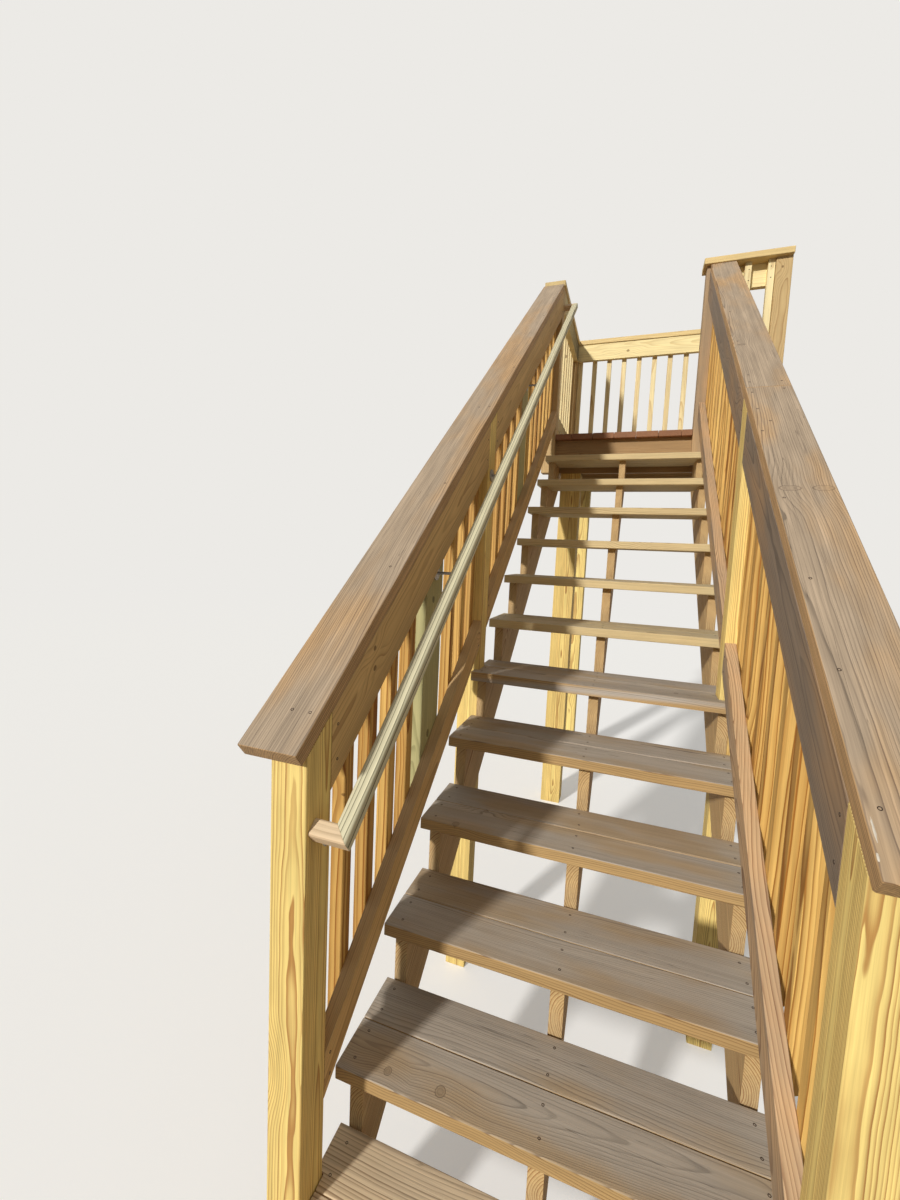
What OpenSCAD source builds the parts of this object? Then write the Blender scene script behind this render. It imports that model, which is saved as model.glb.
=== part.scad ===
// Open-riser timber deck stair: cut stringers, notched treads and posts, raked guards with
// bevelled balusters, a handrail with mitred returns, and a framed landing with level guards.
// X runs across the flight, Y up the flight and Z up. The origin is the centre of the
// middle stringer's foot, on the ground. Millimetres.

/* [Flight] */
// Treads below the landing
tread_count = 13; // [12:1:14]
// Height from one step to the next
rise = 198; // [180:1:202]
// Depth from one nosing to the next
run = 250; // [246:1:270]
// Width of the flight over the outer faces of the side stringers
flight_w = 964; // [900:2:1080]
// How far each end of a tread passes the side stringers
tread_overhang = 18; // [4:1:18]
// How far a nosing stands in front of its riser cut
nosing = 45; // [38:1:60]
// Open joint between a tread's two boards
tread_gap = 2; // [1:1:8]

/* [Landing] */
// Depth of the landing frame along the flight
landing_depth = 1023; // [960:1:1300]
// Length of the landing frame, from the flight's left side to the wall
landing_length = 1382; // [1330:1:1700]
// Distance between joist centres
joist_pitch = 406; // [300:1:420]
// Width of the ripped deck board at the left edge
first_board_w = 115; // [80:1:140]
// Open joint between deck boards
deck_gap = 2; // [1:1:8]
// How far the support posts stand in from the landing's left side
support_inset = 52; // [0:1:120]

/* [Lumber] */
// Thickness of the boards, rails, caps and framing
lumber_t = 38; // [32:1:40]
// Width of a tread board and of a deck board
board_w = 142; // [130:1:144]
// Depth of a stringer before its steps are cut
stringer_d = 286; // [270:1:300]
// Depth of the rims, joists and ledger
rim_d = 235; // [184:1:250]
// Side of a guard post
post_w = 89; // [80:1:100]
// Side of a support post
support_w = 140; // [89:1:160]

/* [Guards] */
// Height of the raked cap's top above the nosings
raked_guard_h = 1040; // [960:1:1050]
// How much higher the level cap stands over the deck than the raked cap over the nosings
level_cap_rise = 17; // [0:1:30]
// Width of the caps
cap_w = 144; // [130:1:150]
// How far the left and back level caps pass the inner face of their guards
level_cap_lip = 8; // [0:1:30]
// How far the left level cap passes the front of its top post
left_cap_reach = 5; // [2:1:20]
// How far the front level cap passes the front of the right top post
front_cap_reach = 31; // [10:1:40]
// How far the front level cap's end passes the side of the right top post
front_cap_end = 20; // [0:1:30]
// Depth of the rail under the cap
top_rail_d = 140; // [89:1:184]
// Depth of the bottom rail
low_rail_d = 89; // [64:1:100]
// Height of a bottom rail above the nosings or the deck
low_rail_gap = 60; // [45:1:90]
// Side of a baluster
baluster_w = 38; // [30:1:40]
// Largest distance between baluster centres
baluster_pitch = 130; // [110:1:135]
// How far the balusters reach below the bottom rail
baluster_drop = 25; // [5:1:40]
// Height of the bevel at a baluster's lower end
baluster_bevel = 22; // [5:1:38]
// The tread that the newels stand at
newel_tread = 2; // [2:1:3]
// How far the newels stand behind that tread's nosing
newel_setback = 85; // [60:1:150]
// The tread that the middle posts stand at
mid_post_tread = 7; // [5:1:8]
// How far the middle posts stand behind that tread's nosing
mid_post_setback = 50; // [46:1:120]
// How far the right top post stands inside its guard's line
top_post_shift = 20; // [0:1:25]
// How far the raked caps pass the newels, along the top
cap_nose = 39; // [25:1:60]
// Distance from the middle post's front to the joint in the right cap
splice_at = 70; // [40:1:80]
// Open joint between two cap boards
cap_joint = 1; // [0.5:0.5:3]
// Clearance round a post that passes a tread or the deck
notch_gap = 2; // [1:1:4]

/* [Handrail] */
// Width of the handrail
handrail_w = 38; // [34:1:42]
// Thickness of the handrail
handrail_t = 38; // [30:1:45]
// Rounding of the handrail's edges
handrail_ease = 7; // [2:1:12]
// Clear space between the guard and the handrail
handrail_gap = 51; // [38:1:60]
// Drop from the raked cap's top to the handrail's top, at its foot
handrail_low_drop = 216; // [200:1:260]
// Drop from the raked cap's top to the handrail's top, at its head
handrail_high_drop = 166; // [160:1:240]
// How far the handrail's foot stands behind the newel's front
handrail_start = 4; // [0:1:30]
// How far the handrail's head passes the top post's front
handrail_reach = 81; // [40:1:85]
// Distance from the newel's front to the centre of the lower bracket board
bracket_board_low = 760; // [700:1:900]
// Distance from the middle post's front to the centre of the upper bracket board
bracket_board_high = 803; // [700:1:900]
// Width of a bracket board
bracket_board_w = 140; // [89:1:140]
// Diameter of a bracket's rod
bracket_rod = 10; // [8:1:12]
// Drop from the handrail's underside to the bracket's rod
bracket_drop = 42; // [36:1:60]
// Radius of the bend in a bracket's rod
bracket_bend = 20; // [14:1:24]
// Diameter of a bracket's plate
bracket_plate = 50; // [36:1:56]
// Thickness of a bracket's plate and saddle
bracket_t = 5; // [4:1:6]
// Length of a bracket's saddle
saddle_l = 60; // [40:1:80]

/* [Hidden] */
function tread_name(step) = str("tread_", step < 10 ? "0" : "", step);

LEFT = -1;
RIGHT = 1;
// How far a cutting shape passes the face that it cuts
overcut = 1;
slope = rise / run;
pitch = atan(slope);
steep = 1 / cos(pitch);

// The stringer's level foot sets where the flight starts, so that the origin is its centre
foot_l = (stringer_d * steep - rise + lumber_t) / slope;
first_cut = -foot_l / 2;
rim_front = first_cut + tread_count * run;
rim_back = rim_front + landing_depth;
deck_z = (tread_count + 1) * rise;
frame_z = deck_z - lumber_t;
under_z = frame_z - rim_d;
left_x = -flight_w / 2;
wall_x = left_x + landing_length;

newel_front = nose_y(newel_tread) + newel_setback;
mid_front = nose_y(mid_post_tread) + mid_post_setback;
top_front = rim_front + lumber_t - post_w;
cap_under = deck_z + raked_guard_h + level_cap_rise - lumber_t;
wall_post_x = wall_x - post_w;
back_plane = rim_back - lumber_t;
front_plane = rim_front + lumber_t;

handrail_foot = newel_front + handrail_start;
handrail_head = top_front + handrail_reach;
handrail_foot_z = cap_top(handrail_foot) - handrail_low_drop;
handrail_head_z = cap_top(handrail_head) - handrail_high_drop;
handrail_slope = (handrail_head_z - handrail_foot_z) / (handrail_head - handrail_foot);
handrail_pitch = atan(handrail_slope);
handrail_l = (handrail_head - handrail_foot) / cos(handrail_pitch);
handrail_in = left_x + handrail_gap;
handrail_out = handrail_in + handrail_w;
board_low_y = newel_front + bracket_board_low;
board_high_y = mid_front + bracket_board_high;

// Riser cut and nosing of a step, counted from 1, and the nosing line over any place
function cut_y(step) = first_cut + (step - 1) * run;
function nose_y(step) = cut_y(step) - nosing;
function nose_z(y) = rise + (y - nose_y(1)) * slope;
function seat_z(step) = step * rise - lumber_t;
function cap_top(y) = nose_z(y) + raked_guard_h;
function cap_low(y) = cap_top(y) - lumber_t * steep;
function handrail_under(y) =
    handrail_foot_z + (y - handrail_foot) * handrail_slope - handrail_t / cos(handrail_pitch);

// X of the guard's inner plane on one side, and a span measured outward from it
function guard_x(side) = side < 0 ? left_x : -left_x - lumber_t;
function span(side, near, far) =
    side < 0 ? [guard_x(side) - far, guard_x(side) - near]
             : [guard_x(side) + near, guard_x(side) + far];

// Even places from one end to the other, no further apart than the pitch
function even(from, to, gap) =
    let (count = max(1, ceil((to - from) / gap)))
    [for (k = [0 : count]) from + (to - from) * k / count];
function between(from, to) =
    even(from + baluster_w / 2 + notch_gap, to - baluster_w / 2 - notch_gap, baluster_pitch);
function clear_of(y, centre) = abs(y - centre) > (bracket_board_w + baluster_w) / 2 + notch_gap;

lower_bay = between(newel_front + post_w, mid_front);
upper_bay = between(mid_front + post_w, top_front);
open_places = [for (y = concat(lower_bay, upper_bay))
    if (clear_of(y, board_low_y) && clear_of(y, board_high_y)) y];

// A side profile in Y and Z, as thick as its span in X
module profile(x, outline) {
    translate([x[0], 0, 0])
        rotate([90, 0, 90])
            linear_extrude(x[1] - x[0])
                polygon(outline);
}

module block(x, y, z) {
    translate([x[0], y[0], z[0]])
        cube([x[1] - x[0], y[1] - y[0], z[1] - z[0]]);
}

// A raked board with plumb ends, from its lower edge's height over the nosing line
module raked(x, from, to, low, depth) {
    profile(x, [
        [from, nose_z(from) + low],
        [to, nose_z(to) + low],
        [to, nose_z(to) + low + depth * steep],
        [from, nose_z(from) + low + depth * steep]
    ]);
}

module stringer(centre) {
    low = function (y) seat_z(1) + (y - first_cut) * slope - stringer_d * steep;
    steps = [for (i = [1 : tread_count]) each [[cut_y(i), seat_z(i)], [cut_y(i + 1), seat_z(i)]]];
    color("burlywood")
        profile([centre - lumber_t / 2, centre + lumber_t / 2],
            concat([[first_cut, 0]], steps, [[rim_front, low(rim_front)], [-first_cut, 0]]));
}

function stringer_x(side) = side * (flight_w - lumber_t) / 2;

// Two boards on the seats, notched round the posts that pass them
module tread(step) {
    color("tan")
        difference() {
            for (row = [0, 1])
                block([left_x - tread_overhang, -left_x + tread_overhang],
                    [nose_y(step) + row * (board_w + tread_gap),
                        nose_y(step) + row * (board_w + tread_gap) + board_w],
                    [seat_z(step), seat_z(step) + lumber_t]);
            for (side = [LEFT, RIGHT]) {
                well(span(side, 0, post_w), newel_front);
                well(span(side, 0, post_w), mid_front);
                well(top_post_x(side), top_front);
            }
        }
}

function top_post_x(side) =
    side < 0 ? span(side, 0, post_w) : span(side, -top_post_shift, post_w - top_post_shift);

// The clear space that a notch leaves round a post
module well(x, front) {
    block([x[0] - notch_gap, x[1] + notch_gap],
        [front - notch_gap, front + post_w + notch_gap], [0, cap_under]);
}

// A post from the ground to the raked cap's underside. The left ones lap the stringer's
// outer face, and the right ones are notched over the stringer.
module ground_post(side, front) {
    x = span(side, 0, post_w);
    color("goldenrod")
        difference() {
            profile(x, [
                [front, 0],
                [front + post_w, 0],
                [front + post_w, cap_low(front + post_w)],
                [front, cap_low(front)]
            ]);
            if (side == RIGHT)
                stringer(stringer_x(RIGHT));
        }
}

module mid_posts() {
    ground_post(LEFT, mid_front);
    ground_post(RIGHT, mid_front);
}

// The left top post laps the end of the front rim
module top_post_left() {
    color("goldenrod")
        block(top_post_x(LEFT), [top_front, top_front + post_w], [under_z, cap_under]);
}

// A post that hangs over a rim's outer face and sits on the rim's top
module rim_post(x, outer, inner, foot) {
    color("goldenrod") {
        block(x, inner, [frame_z, cap_under]);
        block(x, outer, [foot, cap_under]);
    }
}

module top_post_right() {
    rim_post(top_post_x(RIGHT), [top_front, rim_front], [rim_front, front_plane],
        seat_z(tread_count));
}

// Where a raked cap's top meets the level caps' underside
level_cut = nose_y(1) + (cap_under - raked_guard_h - rise) / slope;
cap_from = newel_front - cap_nose;

// A square-cut end of a raked cap, from its top corner down
function square_end(y) =
    [[y, cap_top(y)], [y + lumber_t * sin(pitch), cap_top(y) - lumber_t * cos(pitch)]];

// The upper end of a raked cap against the top post, from its top corner down. It butts the
// front of the level cap over it, or fits under that cap, or ends below it.
function fitted_end(level_front) = concat(
    cap_top(level_front) > cap_under
        ? [[level_front, cap_top(level_front)], [level_front, cap_under],
            [top_front, cap_under]]
        : cap_top(top_front) > cap_under
            ? [[level_cut, cap_under], [top_front, cap_under]]
            : [[top_front, cap_top(top_front)]],
    [[top_front, cap_low(top_front)]]);

// A raked cap from its square-cut lower end to the given upper end
module raked_cap(side, from, upper_end) {
    lower_end = square_end(from);
    color("peru")
        profile(span(side, 0, cap_w), concat([lower_end[1], lower_end[0]], upper_end));
}

module stair_cap_left() {
    raked_cap(LEFT, cap_from, fitted_end(top_front - left_cap_reach));
}

module stair_cap_right() {
    raked_cap(RIGHT, cap_from, square_end(mid_front + splice_at - cap_joint));
    raked_cap(RIGHT, mid_front + splice_at, fitted_end(top_front - front_cap_reach));
}

// Raked rails in two bays a side, between the newel, the middle post and the top post
module stair_rails(low, depth) {
    color("sandybrown")
        for (side = [LEFT, RIGHT]) {
            raked(span(side, 0, lumber_t), newel_front + post_w, mid_front, low, depth);
            raked(span(side, 0, lumber_t), mid_front + post_w, top_front, low, depth);
        }
}

module stair_top_rails() {
    stair_rails(raked_guard_h - (lumber_t + top_rail_d) * steep, top_rail_d);
}

module stair_low_rails() {
    stair_rails(low_rail_gap, low_rail_d);
}

// A baluster on the rails' outer face, cut to the rake at its head and bevelled at its foot
module raked_baluster(side, centre) {
    y = [centre - baluster_w / 2, centre + baluster_w / 2];
    x = span(side, lumber_t, lumber_t + baluster_w);
    foot = nose_z(y[0]) + low_rail_gap - baluster_drop;
    outer = side < 0 ? x[0] : x[1];
    difference() {
        profile(x, [[y[0], foot], [y[1], foot], [y[1], cap_low(y[1])], [y[0], cap_low(y[0])]]);
        bevel_y(outer, side, y, foot);
    }
}

// The wedge that a bevelled foot loses, on a face that looks along X
module bevel_y(outer, side, y, foot) {
    translate([outer, y[1] + overcut, foot])
        rotate([90, 0, 0])
            linear_extrude(y[1] - y[0] + 2 * overcut)
                polygon([[side * overcut, -overcut], [-side * baluster_w, -overcut],
                    [-side * baluster_w, 0], [0, baluster_bevel],
                    [side * overcut, baluster_bevel]]);
}

// The same wedge on a face that looks along Y
module bevel_x(outer, side, x, foot) {
    profile([x[0] - overcut, x[1] + overcut],
        [[outer + side * overcut, foot - overcut], [outer - side * baluster_w, foot - overcut],
            [outer - side * baluster_w, foot], [outer, foot + baluster_bevel],
            [outer + side * overcut, foot + baluster_bevel]]);
}

module stair_balusters_left() {
    color("orange")
        for (y = open_places)
            raked_baluster(LEFT, y);
}

module stair_balusters_right() {
    color("orange")
        for (y = concat(lower_bay, upper_bay))
            raked_baluster(RIGHT, y);
}

// Boards in the balusters' line, each behind one handrail bracket
module bracket_boards() {
    color("palegoldenrod")
        for (centre = [board_low_y, board_high_y]) {
            from = centre - bracket_board_w / 2;
            to = centre + bracket_board_w / 2;
            profile(span(LEFT, lumber_t, 2 * lumber_t), [
                [from, nose_z(from) + low_rail_gap - baluster_drop],
                [to, nose_z(to) + low_rail_gap - baluster_drop],
                [to, cap_low(to)],
                [from, cap_low(from)]
            ]);
        }
}

// The handrail's section, as across and down from its top face, with four rounded edges
handrail_section = [for (corner = [0 : 3]) each [for (turn = [0 : 15 : 90])
    let (out = corner == 0 || corner == 3 ? 1 : -1, up = corner < 2 ? 1 : -1)
    [handrail_w / 2 + out * (handrail_w / 2 - handrail_ease)
            + handrail_ease * cos(corner * 90 + turn),
        up * (handrail_t / 2 - handrail_ease) - handrail_t / 2
            + handrail_ease * sin(corner * 90 + turn)]]];

// The handrail and its returns are drawn flat, as X across and Y along with the top on Z 0,
// cut to their mitres in plan, and then tilted to the handrail's pitch
module on_handrail(plan) {
    translate([0, handrail_foot, handrail_foot_z])
        rotate([handrail_pitch, 0, 0])
            intersection() {
                children();
                translate([0, 0, -handrail_t - overcut])
                    linear_extrude(handrail_t + 2 * overcut)
                        polygon(plan);
            }
}

module handrail() {
    color("palegoldenrod")
        on_handrail([[handrail_out, 0], [handrail_out, handrail_l],
                [handrail_in, handrail_l - handrail_w], [handrail_in, handrail_w]])
            translate([handrail_in, handrail_l, 0])
                rotate([90, 0, 0])
                    linear_extrude(handrail_l)
                        polygon(handrail_section);
}

// A length of the handrail's section that runs across, from the guard
module return_piece(from) {
    translate([left_x, from, 0])
        rotate([90, 0, 90])
            linear_extrude(handrail_out - left_x)
                polygon(handrail_section);
}

// Each return meets the handrail in a mitre and ends square on the guard
module handrail_returns() {
    color("palegoldenrod") {
        on_handrail([[left_x, 0], [handrail_out, 0], [handrail_in, handrail_w],
                [left_x, handrail_w]])
            return_piece(0);
        on_handrail([[left_x, handrail_l], [left_x, handrail_l - handrail_w],
                [handrail_in, handrail_l - handrail_w], [handrail_out, handrail_l]])
            return_piece(handrail_l - handrail_w);
    }
}

// A round plate on the guard, a rod that bends up under the handrail, and a saddle to its
// pitch, a little narrower than the handrail's flat underside
module bracket(face_x, y) {
    rod_x = (handrail_in + handrail_out) / 2;
    rod_z = handrail_under(y) - bracket_drop;
    translate([face_x, y, rod_z])
        rotate([0, 90, 0]) {
            cylinder(d = bracket_plate, h = bracket_t, $fn = 48);
            cylinder(d = bracket_rod, h = rod_x - bracket_bend - face_x, $fn = 32);
        }
    translate([rod_x - bracket_bend, y, rod_z + bracket_bend])
        rotate([90, 0, 0])
            rotate([0, 0, -90])
                rotate_extrude(angle = 90, $fn = 64)
                    translate([bracket_bend, 0])
                        circle(d = bracket_rod, $fn = 32);
    translate([rod_x, y, rod_z + bracket_bend])
        cylinder(d = bracket_rod, h = bracket_drop - bracket_bend - bracket_t / 2, $fn = 32);
    profile([handrail_in + handrail_ease, handrail_out - handrail_ease], [
        [y - saddle_l / 2, handrail_under(y - saddle_l / 2) - bracket_t],
        [y + saddle_l / 2, handrail_under(y + saddle_l / 2) - bracket_t],
        [y + saddle_l / 2, handrail_under(y + saddle_l / 2)],
        [y - saddle_l / 2, handrail_under(y - saddle_l / 2)]
    ]);
}

module handrail_brackets() {
    color("dimgray") {
        bracket(left_x - lumber_t, board_low_y);
        bracket(left_x, mid_front + post_w / 2);
        bracket(left_x - lumber_t, board_high_y);
    }
}

// Boards along the flight from a ripped first one, notched round the posts
module deck_boards() {
    edge = left_x + notch_gap;
    full = edge + first_board_w + deck_gap;
    end = wall_x - notch_gap;
    starts = [for (x = [full : board_w + deck_gap : end - board_w / 4]) x];
    color("indianred")
        difference() {
            union() {
                deck_board([edge, edge + first_board_w]);
                for (x = starts)
                    deck_board([x, min(x + board_w, end)]);
            }
            well(top_post_x(RIGHT), top_front);
            well([wall_post_x, wall_x + notch_gap], top_front);
            well([wall_post_x, wall_x + notch_gap], back_plane);
        }
}

module deck_board(x) {
    block(x, [rim_front - nosing, rim_back], [frame_z, deck_z]);
}

module front_rim() {
    color("sienna")
        block([left_x, wall_x - lumber_t], [rim_front, front_plane], [under_z, frame_z]);
}

module back_rim() {
    color("sienna")
        block([left_x, wall_x - lumber_t], [back_plane, rim_back], [under_z, frame_z]);
}

module side_rim() {
    color("sienna")
        block([left_x, left_x + lumber_t], [front_plane, back_plane], [under_z, frame_z]);
}

module wall_ledger() {
    color("sienna")
        block([wall_x - lumber_t, wall_x], [rim_front, rim_back], [under_z, frame_z]);
}

module landing_joists() {
    first = rim_front + joist_pitch;
    color("sienna")
        for (y = [first : joist_pitch : back_plane - 2 * lumber_t])
            block([left_x + lumber_t, wall_x - lumber_t], [y, y + lumber_t],
                [under_z, frame_z]);
}

module support_posts() {
    x = [left_x + support_inset, left_x + support_inset + support_w];
    color("goldenrod") {
        block(x, [rim_front, rim_front + support_w], [0, under_z]);
        block(x, [rim_back - support_w, rim_back], [0, under_z]);
    }
}

module landing_posts() {
    color("goldenrod")
        block(span(LEFT, 0, post_w), [back_plane, back_plane + post_w], [under_z, cap_under]);
    rim_post([wall_post_x, wall_x], [top_front, rim_front], [rim_front, front_plane],
        under_z);
    rim_post([wall_post_x, wall_x], [rim_back, back_plane + post_w],
        [back_plane, rim_back], under_z);
}

// Level caps: the left and the back one meet in a mitre over the corner post
module landing_caps() {
    left = span(LEFT, -level_cap_lip, cap_w - level_cap_lip);
    back = [back_plane - level_cap_lip, back_plane - level_cap_lip + cap_w];
    front = [top_front - front_cap_reach, top_front - front_cap_reach + cap_w];
    front_end = top_post_x(RIGHT)[0] - front_cap_end;
    z = [cap_under, cap_under + lumber_t];
    color("peru") {
        difference() {
            block(left, [top_front - left_cap_reach, back[1]], z);
            mitre_side(left, back, cap_joint);
        }
        intersection() {
            block([left[0], wall_x], back, z);
            mitre_side(left, back, 0);
        }
        block([front_end, wall_x], front, z);
    }
}

// The side of the corner's mitre line that belongs to the back cap
module mitre_side(left, back, shift) {
    reach = wall_x - left[0];
    translate([0, -shift, cap_under - overcut])
        linear_extrude(lumber_t + 2 * overcut)
            polygon([[left[0] - cap_w, back[1] + cap_w], [left[1] + reach, back[0] - reach],
                [left[1] + reach, back[1] + cap_w]]);
}

module landing_rails(z) {
    color("sandybrown") {
        block(span(LEFT, 0, lumber_t), [top_front + post_w, back_plane], z);
        block([left_x, wall_post_x], [back_plane, rim_back], z);
        block([top_post_x(RIGHT)[1], wall_post_x], [rim_front, front_plane], z);
    }
}

module landing_top_rails() {
    landing_rails([cap_under - top_rail_d, cap_under]);
}

module landing_low_rails() {
    landing_rails([deck_z + low_rail_gap, deck_z + low_rail_gap + low_rail_d]);
}

level_foot = deck_z + low_rail_gap - baluster_drop;

module landing_balusters_left() {
    x = span(LEFT, lumber_t, lumber_t + baluster_w);
    color("orange")
        for (centre = between(top_front + post_w, back_plane)) {
            y = [centre - baluster_w / 2, centre + baluster_w / 2];
            difference() {
                block(x, y, [level_foot, cap_under]);
                bevel_y(x[0], LEFT, y, level_foot);
            }
        }
}

// A row of balusters along X, on the outer face of a front or back guard
module row_along_x(from, to, y, outer, side) {
    color("orange")
        for (centre = between(from, to)) {
            x = [centre - baluster_w / 2, centre + baluster_w / 2];
            difference() {
                block(x, y, [level_foot, cap_under]);
                bevel_x(outer, side, x, level_foot);
            }
        }
}

module landing_balusters_back() {
    row_along_x(left_x, wall_post_x, [rim_back, rim_back + baluster_w],
        rim_back + baluster_w, 1);
}

module landing_balusters_front() {
    row_along_x(top_post_x(RIGHT)[1], wall_post_x, [rim_front - baluster_w, rim_front],
        rim_front - baluster_w, -1);
}

stringer(stringer_x(LEFT));  // stringer_left
stringer(0);  // stringer_middle
stringer(stringer_x(RIGHT));  // stringer_right
for (step = [1 : tread_count])
    tread(step);
ground_post(LEFT, newel_front);  // newel_left
ground_post(RIGHT, newel_front);  // newel_right
mid_posts();
top_post_left();
top_post_right();
stair_cap_left();
stair_cap_right();
stair_top_rails();
stair_low_rails();
stair_balusters_left();
stair_balusters_right();
handrail();
handrail_returns();
handrail_brackets();
bracket_boards();
deck_boards();
front_rim();
back_rim();
side_rim();
landing_joists();
wall_ledger();
support_posts();
landing_posts();
landing_caps();
landing_top_rails();
landing_low_rails();
landing_balusters_left();
landing_balusters_back();
landing_balusters_front();
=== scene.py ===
# An open-riser deck stair in treated pine, from its stringers up to the landing's guards.
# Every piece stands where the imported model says. Metres, X across, Y up the flight, Z up.
import math
import random

import bmesh
import bpy
from mathutils import Matrix, Vector
from mathutils.bvhtree import BVHTree


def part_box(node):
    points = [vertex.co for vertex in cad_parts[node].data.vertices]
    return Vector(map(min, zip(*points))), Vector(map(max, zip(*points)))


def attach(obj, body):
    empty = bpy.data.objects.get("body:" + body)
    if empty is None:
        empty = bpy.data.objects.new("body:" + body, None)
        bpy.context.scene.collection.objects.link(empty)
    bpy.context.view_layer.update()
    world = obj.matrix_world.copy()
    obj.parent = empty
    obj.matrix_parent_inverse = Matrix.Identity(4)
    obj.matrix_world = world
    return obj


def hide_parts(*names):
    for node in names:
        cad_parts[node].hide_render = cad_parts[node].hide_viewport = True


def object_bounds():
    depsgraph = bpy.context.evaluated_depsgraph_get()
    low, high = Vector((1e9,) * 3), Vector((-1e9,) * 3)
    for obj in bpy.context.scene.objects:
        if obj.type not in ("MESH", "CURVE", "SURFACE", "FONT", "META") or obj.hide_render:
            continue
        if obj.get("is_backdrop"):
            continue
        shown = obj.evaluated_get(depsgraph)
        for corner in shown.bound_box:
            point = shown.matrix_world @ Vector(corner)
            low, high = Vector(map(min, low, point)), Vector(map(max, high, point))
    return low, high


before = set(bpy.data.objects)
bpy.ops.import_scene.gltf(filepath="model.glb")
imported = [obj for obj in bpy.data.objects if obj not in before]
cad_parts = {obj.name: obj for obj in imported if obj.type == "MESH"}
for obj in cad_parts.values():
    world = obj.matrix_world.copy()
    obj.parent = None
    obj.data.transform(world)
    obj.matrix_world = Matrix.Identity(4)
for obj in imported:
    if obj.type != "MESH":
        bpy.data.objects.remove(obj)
cad_low, cad_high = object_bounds()

# The camera stands at head height in front of the lowest treads and looks up the flight,
# a little to the left. Its place and turn were solved from the flight's repeating steps.
EYE = Vector((0.1029, -0.6609, 1.8774))
YAW, PITCH, ROLL = math.radians(-19.725), math.radians(-5.290), math.radians(2.531)
FILM_HEIGHT = 36.0
FOCAL_SHARE = 498.817 / 1200  # of the film's height
NEAREST = 0.02

forward = Vector((math.sin(YAW) * math.cos(PITCH), math.cos(YAW) * math.cos(PITCH), math.sin(PITCH)))
level_right = Vector((math.cos(YAW), -math.sin(YAW), 0))
level_up = level_right.cross(forward)
right = level_right * math.cos(ROLL) + level_up * math.sin(ROLL)
up = level_up * math.cos(ROLL) - level_right * math.sin(ROLL)
camera = bpy.data.objects.new("camera", bpy.data.cameras.new("camera"))
bpy.context.scene.collection.objects.link(camera)
camera.matrix_world = Matrix.Translation(EYE) @ Matrix((right, up, -forward)).transposed().to_4x4()
camera.data.sensor_fit = "VERTICAL"
camera.data.sensor_height = FILM_HEIGHT
camera.data.lens = FILM_HEIGHT * FOCAL_SHARE
camera.data.clip_start = NEAREST
bpy.context.scene.camera = camera

# Cut stringers: three 286 mm planks of treated pine, sawn to the steps, which show their
# end grain at every riser cut. The making of all sawn timber and its finish start here.
SHARP = math.radians(35)  # the least turn at an edge that is eased
EDGE_ALONG, FACE_ALONG = 0.99, 0.1  # least and most cosine to the grain, of an edge and a normal
MERGE, ONE_FACE = 2e-5, math.radians(1)
SAWN_EDGE = 0.0006
LOG_START = (5, 60)  # where a board's grain starts, in metres, so that no two are alike
KNOT_SIZE = 0.011
FAR_OFF = Vector((99, 99, 99))  # for a knot that a board hasn't got


def boards_of(meshes):
    """The boards in some meshes, each as a bmesh of its own, in the order of their corners."""
    boards = []
    for mesh in meshes:
        whole = bmesh.new()
        whole.from_mesh(mesh)
        bmesh.ops.remove_doubles(whole, verts=whole.verts, dist=MERGE)
        bmesh.ops.dissolve_limit(whole, angle_limit=ONE_FACE, verts=whole.verts, edges=whole.edges)
        left = set(whole.verts)
        while left:
            group, queue = set(), [left.pop()]
            while queue:
                vert = queue.pop()
                group.add(vert)
                near = {edge.other_vert(vert) for edge in vert.link_edges} & left
                left -= near
                queue.extend(near)
            board = bmesh.new()
            twin = {vert: board.verts.new(vert.co) for vert in sorted(group, key=lambda v: v.index)}
            for face in whole.faces:
                if face.verts[0] in group:
                    board.faces.new([twin[vert] for vert in face.verts])
            board.normal_update()
            boards.append(board)
        whole.free()
    return sorted(boards, key=lambda b: [round(c, 3) for c in min(v.co[:] for v in b.verts)])


def board_frame(board, flat):
    """A board's middle, its grain along the longest edge, and the normal of its flat-sawn face."""
    longest = max(board.edges, key=lambda e: round(e.calc_length(), 4))
    along = (longest.verts[1].co - longest.verts[0].co).normalized()
    if sum(along) < 0:
        along.negate()
    if flat is None:
        areas = {}
        for face in board.faces:
            if abs(face.normal.dot(along)) < FACE_ALONG:
                key = tuple(round(abs(c), 2) for c in face.normal)
                areas.setdefault(key, [0.0, face.normal.copy()])[0] += face.calc_area()
        flat = max(areas.values(), key=lambda entry: round(entry[0], 5))[1]
    thin = (flat - along * flat.dot(along)).normalized()
    corners = [v.co for v in board.verts]
    return sum(corners, Vector()) / len(corners), along, thin


def ease_edges(board, along, ease, sawn):
    """Rounds a board's long edges, as the mill does, and only breaks its saw-cut ones."""
    for long_edge, offset, segments in ((True, ease, 3), (False, sawn, 1)):
        edges = []
        for edge in board.edges:
            run = (edge.verts[1].co - edge.verts[0].co).normalized()
            runs_along = abs(run.dot(along)) > EDGE_ALONG
            if edge.is_convex and edge.calc_face_angle(0) > SHARP and runs_along == long_edge:
                edges.append(edge)
        bmesh.ops.bevel(
            board, geom=edges, offset=offset, segments=segments, profile=0.5, affect="EDGES",
            clamp_overlap=True,
        )
        board.normal_update()


def place(name, mesh, nodes):
    """A finished piece that stands for CAD nodes, with shading that keeps its flat faces flat."""
    for face in mesh.polygons:
        face.use_smooth = True
    piece = bpy.data.objects.new(name, mesh)
    bpy.context.scene.collection.objects.link(piece)
    piece.modifiers.new("flat faces", "WEIGHTED_NORMAL").weight = 100
    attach(piece, "root")
    if nodes:
        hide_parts(*nodes)
    return piece


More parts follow.
